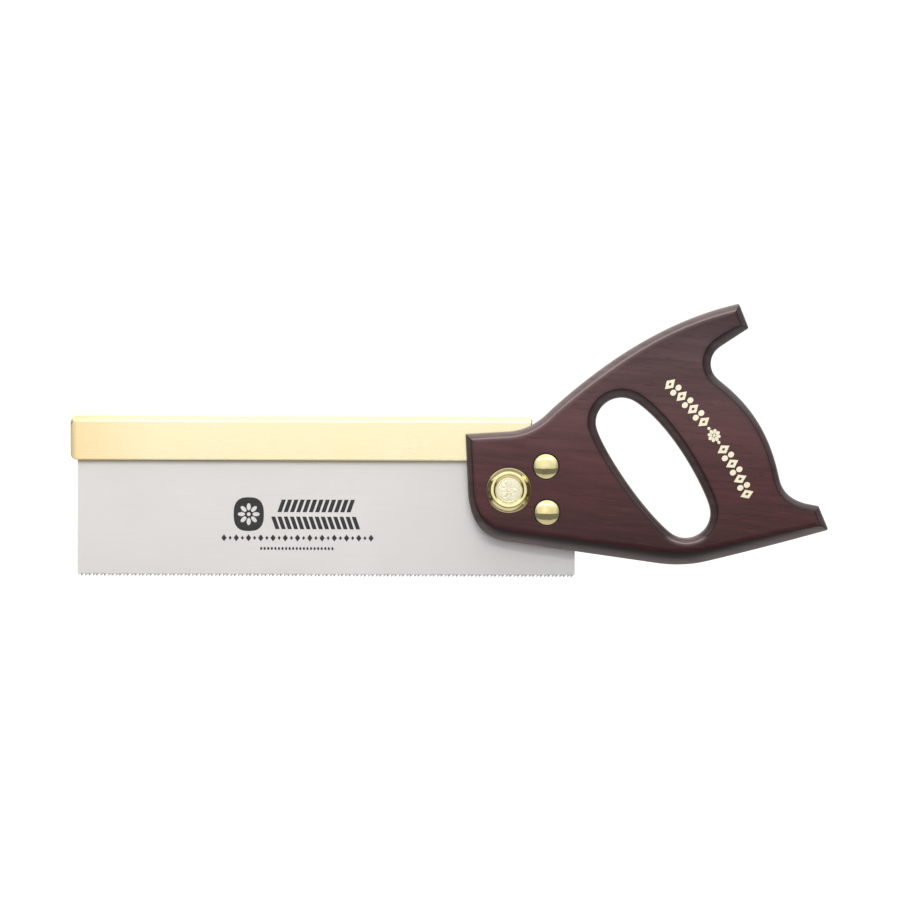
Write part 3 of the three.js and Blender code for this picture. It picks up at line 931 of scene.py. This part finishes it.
def handle_blank():
    """Rings of points run from the near cheek round the edge to the far cheek, for both loops."""
    verts, faces, caps = [], [], []
    for silhouette, cheek in (outer_loops(), hole_loops()):
        near = edge_levels(np.hypot(*(cheek - silhouette).T))
        levels = [(share, -CHEEK + down) for share, down in near]
        levels += [(share, CHEEK - down) for share, down in reversed(near)]
        rings = []
        for share, across in levels:
            ring = silhouette + (cheek - silhouette) * share[:, None]
            rings.append(list(range(len(verts), len(verts) + len(ring))))
            verts += [(x, y, z) for (x, z), y in zip(ring, across)]
        faces += ring_faces(rings)
        caps.append((rings[0], rings[-1]))
    piece = mesh_object("handle_shaped", verts, faces)
    bm = bmesh.new()
    bm.from_mesh(piece.data)
    bm.verts.ensure_lookup_table()
    for side in (0, 1):
        edges = []
        for loops in caps:
            ring = loops[side]
            edges += [bm.edges.get((bm.verts[a], bm.verts[b])) for a, b in zip(ring, ring[1:] + ring[:1])]
        bmesh.ops.triangle_fill(bm, edges=edges, use_beauty=True)
    bmesh.ops.recalc_face_normals(bm, faces=bm.faces)
    bm.to_mesh(piece.data)
    bm.free()
    return piece


KERF_GAP, MORTISE_GAP, END_GAP = 0.08, 0.12, 0.1  # clearances round the plate and the back
MOUTH_FLARE = 0.12  # the bores' mouths are eased by this much
NUT_BARREL = 8  # depth of the bore that takes a nut's barrel
NUT_SEAT = 1.8  # depth of the seat for a nut's head


def counterbore(name, centre, radius, seat, shank, nut):
    """One turned cutter for a fastener: its head's radius and depth, its shank and its nut's head."""
    flare = MOUTH_FLARE
    past = CHEEK + 4
    barrel = nut - 2
    profile = [(0, -past), (radius + 4, -past), (radius + flare, -CHEEK - 0.02),
               (radius, -CHEEK + flare), (radius, -CHEEK + seat), (shank, -CHEEK + seat),
               (shank, CHEEK - NUT_BARREL), (barrel, CHEEK - NUT_BARREL), (barrel, CHEEK - NUT_SEAT),
               (nut, CHEEK - NUT_SEAT), (nut, CHEEK - flare), (nut + flare, CHEEK + 0.02),
               (nut + 4, past), (0, past)]
    return lathe(name, centre, profile, 96)


def handle():
    piece = handle_blank()
    kerf = PLATE_HALF + KERF_GAP
    mortise = BACK_HALF + MORTISE_GAP
    ahead, under, over = HANDLE_LOW.x - 10, -10, BACK_HIGH.z + 20
    cutters = [box_piece("kerf", (ahead, -kerf, under), (END_GAP, kerf, PLATE_HIGH.z + END_GAP)),
               box_piece("mortise", (ahead, -mortise, BACK_LOW.z - END_GAP),
                         (BACK_HIGH.x + END_GAP, mortise, over)),
               counterbore("medallion_bore", MEDALLION, radius=11.65, seat=0.8, shank=3.3, nut=7.25)]
    cutters += [counterbore("screw_bore", centre, radius=6.95, seat=3.6, shank=2.8, nut=6.55)
                for centre in (UPPER, LOWER)]
    for cutter in cutters:
        boolean(piece, cutter, "DIFFERENCE")
    finish_piece(piece, WOOD, "handle", 32)


handle()


# ---------------- screws, medallion and nuts

SHANK_END = CHEEK - 1.2
SMALL_SHANK, MEDALLION_SHANK = 2.5, 3.0  # radii
DOME_HEIGHT = 1.5


def domed_screw(name, centre, node):
    low, high = box_mm(node)
    radius = (high.x - low.x) / 2
    sphere = (radius ** 2 + DOME_HEIGHT ** 2) / (2 * DOME_HEIGHT)
    spread = math.asin(radius / sphere) * 0.97
    dome = [(sphere * math.sin(a), low.y + sphere * (1 - math.cos(a))) for a in np.linspace(0, spread, 22)]
    rim = dome[-1][1]
    seat = -CHEEK + 3.5
    edge = [(radius - 0.06, rim + 0.06), (radius, rim + 0.2), (radius, seat), (SMALL_SHANK, seat),
            (SMALL_SHANK, SHANK_END), (0, SHANK_END)]
    finish_piece(lathe(name, centre, dome + edge), SCREW_BRASS, node, 32)


def medallion(centre):
    """The large screw: a recess for the disc, a rounded rim, a flared flange and a shank."""
    crest = box_mm("medallion_screw")[0].y
    floor = crest + 1.0
    seat = -CHEEK + 0.7
    profile = [(0, floor, 0), (6.7, floor, 0.2), (7.2, crest + 0.5, 0.4), (7.8, crest + 0.05, 0.45),
               (8.5, crest, 0.3), (9.2, crest + 0.1, 0.3), (9.5, crest + 0.38, 0.25),
               (11.2, -CHEEK - 0.1, 0.12), (11.4, -CHEEK - 0.02, 0.05), (11.4, seat, 0),
               (MEDALLION_SHANK, seat, 0), (MEDALLION_SHANK, SHANK_END, 0), (0, SHANK_END, 0)]
    piece = lathe("medallion_turned", centre, fillet(profile), 192)
    finish_piece(piece, SCREW_BRASS, "medallion_screw", 50)


ENGRAVED_LINE, ENGRAVED_DEPTH = 0.15, 0.08  # how wide and deep the disc is engraved


def engraved_flower(radius, angle):
    """Height of the struck disc's face: thin engraved outlines of eight petals, a boss and a border."""
    turn = math.pi / 4
    off_axis = abs((angle + turn / 2) % turn - turn / 2)
    depth = 0.0
    inner, outer = 1.3, 5.0
    if inner < radius < outer:
        half = 0.33 * math.sin(math.pi * (radius - inner) / (outer - inner))
        depth += math.exp(-((off_axis - half) * radius / 0.17) ** 2)
    for ring in (1.0, 5.5):
        depth += math.exp(-((radius - ring) / ENGRAVED_LINE) ** 2)
    return -ENGRAVED_DEPTH * min(depth, 1.0)


def medallion_disc(centre):
    low, high = box_mm("medallion_disc")
    radius = (high.x - low.x) / 2
    face_end = 0.96 * radius
    crown, edge, seat = low.y + 0.2, low.y + 0.27, low.y + 0.5
    top = [(r, crown + (edge - crown) * (r / radius) ** 2) for r in np.linspace(0, face_end, 80)]
    rim = [(radius * 0.985, edge + 0.06), (radius, edge + 0.2), (radius, seat), (0, seat)]

    def relief(r, angle):
        return engraved_flower(r, angle) if r < face_end else 0.0

    piece = lathe("medallion_disc_struck", centre, top + rim, 320, relief=relief)
    finish_piece(piece, STRUCK_BRASS, "medallion_disc", 40)


NUT_HEAD = 1.5  # thickness of a nut's head
SLOT_DEPTH, SLOT_HALF = 0.9, 0.65


def slotted_nut(name, centre, node, shank):
    low, high = box_mm(node)
    radius = (high.x - low.x) / 2
    bore, barrel = shank + 0.2, shank + 1.3
    profile = [(bore, low.y, 0), (barrel, low.y, 0.2), (barrel, high.y - NUT_HEAD, 0),
               (radius, high.y - NUT_HEAD, 0.15), (radius, high.y, 0.45), (bore, high.y, 0.25),
               (bore, low.y, 0)]
    piece = lathe(name, centre, fillet(profile), 128)
    cx, cz = centre
    slot = box_piece("slot", (cx - radius - 1, high.y - SLOT_DEPTH, cz - SLOT_HALF),
                     (cx + radius + 1, high.y + 1, cz + SLOT_HALF))
    boolean(piece, slot, "DIFFERENCE")
    finish_piece(piece, SCREW_BRASS, node, 32)


domed_screw("upper_screw_domed", UPPER, "upper_screw")
domed_screw("lower_screw_domed", LOWER, "lower_screw")
medallion(MEDALLION)
medallion_disc(MEDALLION)
slotted_nut("medallion_nut_slotted", MEDALLION, "medallion_nut", MEDALLION_SHANK)
slotted_nut("upper_nut_slotted", UPPER, "upper_nut", SMALL_SHANK)
slotted_nut("lower_nut_slotted", LOWER, "lower_nut", SMALL_SHANK)


# ---------------- ornaments

PRINT_NEAR, PRINT_FAR = -PLATE_HALF - 0.03, -PLATE_HALF + 0.01
FOIL_NEAR, FOIL_FAR = -CHEEK - 0.04, -CHEEK + 0.02


def oval(centre, half_width, half_height, power=2.0, count=64):
    """A rounded oval; a higher power squares it."""
    points = []
    for i in range(count):
        a = 2 * math.pi * i / count
        c, s = math.cos(a), math.sin(a)
        points.append((centre[0] + half_width * math.copysign(abs(c) ** (2 / power), c),
                       centre[1] + half_height * math.copysign(abs(s) ** (2 / power), s)))
    return points


def petal(centre, angle, inner, outer, width, count=10):
    """A leaf shape that points away from centre."""
    along = np.linspace(0, math.pi, count)
    side = [(inner + (outer - inner) * (1 - math.cos(t)) / 2, width / 2 * math.sin(t)) for t in along]
    outline = side + [(r, -w) for r, w in reversed(side[1:-1])]
    c, s = math.cos(angle), math.sin(angle)
    return [(centre[0] + r * c - w * s, centre[1] + r * s + w * c) for r, w in outline]


def flower(centre, heading, inner, outer, width):
    """Eight petals, as closed loops."""
    return [petal(centre, heading + math.radians(45 * i), inner, outer, width) for i in range(8)]


def diamond(x, z, wide, tall):
    return [(x - wide, z), (x, z - tall), (x + wide, z), (x, z + tall)]


def slanted_bars(left, right, bottom, height, count, lean):
    """A band of slanted bars of even width."""
    step = (right - left) / count
    bar = step * 0.66
    slide = lean * height
    top = bottom + height
    return [[[(x, bottom), (x + bar, bottom), (x + bar + slide, top), (x + slide, top)]]
            for x in (left + i * step for i in range(count))]


BADGE, BADGE_HALF = (-166.6, 31.8), (7.7, 8.6)  # its centre, and half its width and height
BAND_HEIGHT, BAND_LEAN = 6.4, 0.35
RULE_LEFT, RULE_STEP, RULE_LEVEL = -179.2, 3.13, 19.7
LARGE_DIAMOND, SMALL_DIAMOND = (1.35, 1.8), (0.8, 1.1)  # half their width and height
DOTS_LEFT, DOTS_STEP, DOTS_LEVEL = -160.2, 1.82, 14.3


def blade_print():
    """A badge with a flower cut out of it, two bands of bars that lean opposite ways, a rule of
    diamonds and a row of dots."""
    holes = flower(BADGE, 0.0, 1.9, 5.6, 2.1) + [oval(BADGE, 0.95, 0.95, count=20)]
    shapes = [[oval(BADGE, *BADGE_HALF, power=2.7, count=96)] + holes]
    shapes += slanted_bars(-152, -113.5, 32.9, BAND_HEIGHT, 12, BAND_LEAN)
    shapes += slanted_bars(-152.9, -108.6, 24.2, BAND_HEIGHT, 14, -BAND_LEAN)
    for i in range(25):
        size = SMALL_DIAMOND if i % 2 else LARGE_DIAMOND
        shapes.append([diamond(RULE_LEFT + i * RULE_STEP, RULE_LEVEL, *size)])
    shapes += [[oval((DOTS_LEFT + DOTS_STEP * i, DOTS_LEVEL), 0.55, 0.8, count=16)] for i in range(21)]
    piece = flat_art("blade_ornament", shapes, PRINT_NEAR, PRINT_FAR)
    finish_piece(piece, PRINT)


FOIL_SPOTS = 17
FOIL_HALF = (3.6, 2.4)  # half a foil lozenge, across the grip and along it


def grip_foil():
    """Lozenges and paired leaves along a curve on the grip, with a flower in the middle."""
    path = faired(quad((48.2, 98.8), (76.1, 71.2), (87.6, 42.9)), closed=False)
    normal = normals_left(path, closed=False)
    middle = FOIL_SPOTS // 2
    shapes = []
    for i, k in enumerate(np.linspace(0, len(path) - 1, FOIL_SPOTS).round().astype(int)):
        centre = path[k]
        heading = math.atan2(normal[k][1], normal[k][0])
        across = normal[k] * FOIL_HALF[0]
        along = np.array((normal[k][1], -normal[k][0])) * FOIL_HALF[1]
        if abs(i - middle) == 1:
            shapes.append([oval(centre, 0.8, 0.8, count=16)])
        elif i == middle:
            shapes += [[loop] for loop in flower(centre, heading, 1.0, 3.4, 1.8)]
            shapes.append([oval(centre, 0.75, 0.75, count=16)])
        elif i % 2 == 0:
            corners = (across, along, -across, -along)
            shapes.append([[tuple(centre + share * c) for c in corners] for share in (1.0, 0.3)])
        else:
            shapes += [[petal(centre, way, 0.2, 3.5, 2.9)] for way in (heading, heading + math.pi)]
    piece = flat_art("grip_foil_ornament", shapes, FOIL_NEAR, FOIL_FAR)
    finish_piece(piece, FOIL)


blade_print()
grip_foil()


# ---------------- studio

VIEW_WIDTH = 0.4597  # metres across the picture, at the saw
LENS = 500.0
SENSOR = 36.0
AIM_ASIDE, AIM_DROP = 0.00025, 0.0052  # the picture's middle, right of and below the saw's own
CAMERA_ROLL = math.radians(0.187)


def camera():
    data = bpy.data.cameras.new("camera")
    data.lens = LENS
    data.sensor_width = SENSOR
    data.clip_end = 100
    view = linked("camera", data)
    bpy.context.scene.camera = view
    middle = (CAD_LOW + CAD_HIGH) / 2
    distance = VIEW_WIDTH * LENS / SENSOR
    view.location = (middle.x + AIM_ASIDE, middle.y - distance, middle.z - AIM_DROP)
    view.rotation_euler = (math.radians(90), -CAMERA_ROLL, 0)


def blank_material(name):
    """A material with no nodes, and its node tree."""
    material = bpy.data.materials.new(name)
    material.use_nodes = True
    material.node_tree.nodes.clear()
    return material, material.node_tree


def emission_material(name, strength, diffuse=0.0):
    material, tree = blank_material(name)
    glow = add(tree, "Emission", {"Color": (1, 1, 1, 1), "Strength": strength})
    paint = add(tree, "BsdfDiffuse", {"Color": (diffuse, diffuse, diffuse, 1)})
    both = add(tree, "AddShader", {0: glow.outputs[0], 1: paint.outputs[0]})
    add(tree, "OutputMaterial", {"Surface": both.outputs[0]})
    return material


def hidden_from(piece, *rays):
    """Keeps a stage piece out of these kinds of light path."""
    for ray in rays:
        setattr(piece, "visible_" + ray, False)


def ring_mesh(name, profile, segments=96):
    """A turned stage piece about the vertical through the frame's origin. profile is (radius,
    height) points in metres."""
    verts = [(r * math.cos(2 * math.pi * i / segments), r * math.sin(2 * math.pi * i / segments), z)
             for r, z in profile for i in range(segments)]
    rings = [range(k * segments, (k + 1) * segments) for k in range(len(profile))]
    mesh = bpy.data.meshes.new(name)
    mesh.from_pydata(verts, [], ring_faces(rings))
    piece = linked(name, mesh)
    hidden_from(piece, "glossy", "transmission", "diffuse", "shadow")
    return piece


MIDDLE = 0.00001  # radius of a ring that closes at the axis, in metres
FLOOR_RADIUS, COVE = 14.0, 2.0  # the floor, and the curve from it to the surround, in metres
SURROUND_TOP = [(16.0, 12.0), (8.0, 18.0), (MIDDLE, 19.0)]


def studio():
    """A pale floor that runs up into a pale surround. Light comes from the world around them."""
    ground = CAD_LOW.z - 0.0002
    floor = ring_mesh("floor", [(MIDDLE, ground), (FLOOR_RADIUS, ground)])
    floor.data.materials.append(emission_material("pale_floor", 0.9, 0.2))
    rise = [(FLOOR_RADIUS + COVE * math.sin(a), ground + COVE * (1 - math.cos(a)))
            for a in np.linspace(0, math.pi / 2, 12)]
    surround = ring_mesh("surround", rise + SURROUND_TOP)
    surround.data.materials.append(emission_material("pale_surround", 1.05))


# Brightness of the room by height, from straight down (-1) to straight up (1) as the sine of the
# elevation: paler below, brightest above.
ROOM = [(-1.0, 0.85), (-0.8, 0.8), (-0.5, 0.6), (-0.2, 0.75), (0.0, 0.88), (0.15, 0.97), (0.3, 1.1),
        (0.45, 1.25), (0.6, 1.4), (0.8, 1.4), (1.0, 1.2)]
SIDE_SHADE = 0.93  # how much darker the room is straight along the saw, away from the top and bottom


def world():
    """Soft light from all around, drawn by direction."""
    room = bpy.data.worlds.new("room")
    bpy.context.scene.world = room
    room.use_nodes = True
    tree = room.node_tree
    tree.nodes.clear()
    where = add(tree, "TexCoord")
    split = add(tree, "SeparateXYZ", {0: where.outputs["Generated"]})
    height = remap(tree, split.outputs["Z"], -1.0, 1.0)
    peak = max(level for _, level in ROOM)
    tone = ramp(tree, height, [((z + 1) / 2, (level / peak,) * 3) for z, level in ROOM])
    across = math_node(tree, "ABSOLUTE", split.outputs["X"])
    sideways = remap(tree, across, 0.62, 0.88, 0.0, SIDE_SHADE)
    level = remap(tree, math_node(tree, "ABSOLUTE", split.outputs["Z"]), 0.45, 0.65, 1.0, 0.0)
    shade = math_node(tree, "SUBTRACT", 1.0, product(tree, sideways, level))
    glow = add(tree, "Background", {"Color": tone, "Strength": product(tree, shade, peak)})
    add(tree, "OutputWorld", {"Surface": glow.outputs[0]})


def fading(tree, glow, level):
    """The glow added to what lies behind it, and fading from the card's middle to nothing."""
    where = add(tree, "TexCoord")
    mapping = add(tree, "Mapping", {"Vector": where.outputs["Generated"],
                                              "Location": (-1, -1, -1), "Scale": (2, 2, 2)})
    flat = add(tree, "VectorMath", {0: mapping.outputs["Vector"], 1: (1, 0, 1)},
               operation="MULTIPLY")
    distance = add(tree, "VectorMath", {0: flat.outputs["Vector"]}, operation="LENGTH")
    fade = add(tree, "MapRange", {"Value": distance.outputs["Value"], "From Min": 1.0,
                                            "From Max": 0.0, "To Min": 0.0, "To Max": level},
               interpolation_type="SMOOTHSTEP")
    tree.links.new(fade.outputs["Result"], glow.inputs["Strength"])
    clear = add(tree, "BsdfTransparent")
    return add(tree, "AddShader", {0: glow.outputs[0], 1: clear.outputs[0]}).outputs[0]


def glow_card(name, centre, half_width, half_height, level, soft):
    """A card that faces the saw and only its reflections show. A soft one adds light that fades
    from its middle; a hard one hides the room behind it."""
    x, y, z = centre
    card = box_piece(name, (x - half_width, y - 1, z - half_height), (x + half_width, y, z + half_height))
    material, tree = blank_material(name)
    glow = add(tree, "Emission", {"Color": (1, 1, 1, 1), "Strength": level})
    shown = fading(tree, glow, level) if soft else glow.outputs[0]
    add(tree, "OutputMaterial", {"Surface": shown})
    card.data.materials.append(material)
    hidden_from(card, "camera", "diffuse", "shadow")


# Layout millimetres: a dark flag close in front, from just below the teeth downwards, and a soft
# lamp farther off that makes the plate and the back brightest left of their middle.
FLAG = ((-70, -330, -86), 900, 84, 0.22)
LAMP = ((-170, -900, 90), 620, 420, 0.14)
TUBE = ((-100, -900, 640), 600, 28, 7.0)  # a bright tube above, for the thin lights along the edges


def cards():
    glow_card("flag", *FLAG, soft=False)
    glow_card("lamp", *LAMP, soft=True)
    glow_card("tube", *TUBE, soft=False)


camera()
studio()
world()
cards()
bpy.context.scene.view_settings.view_transform = "Standard"
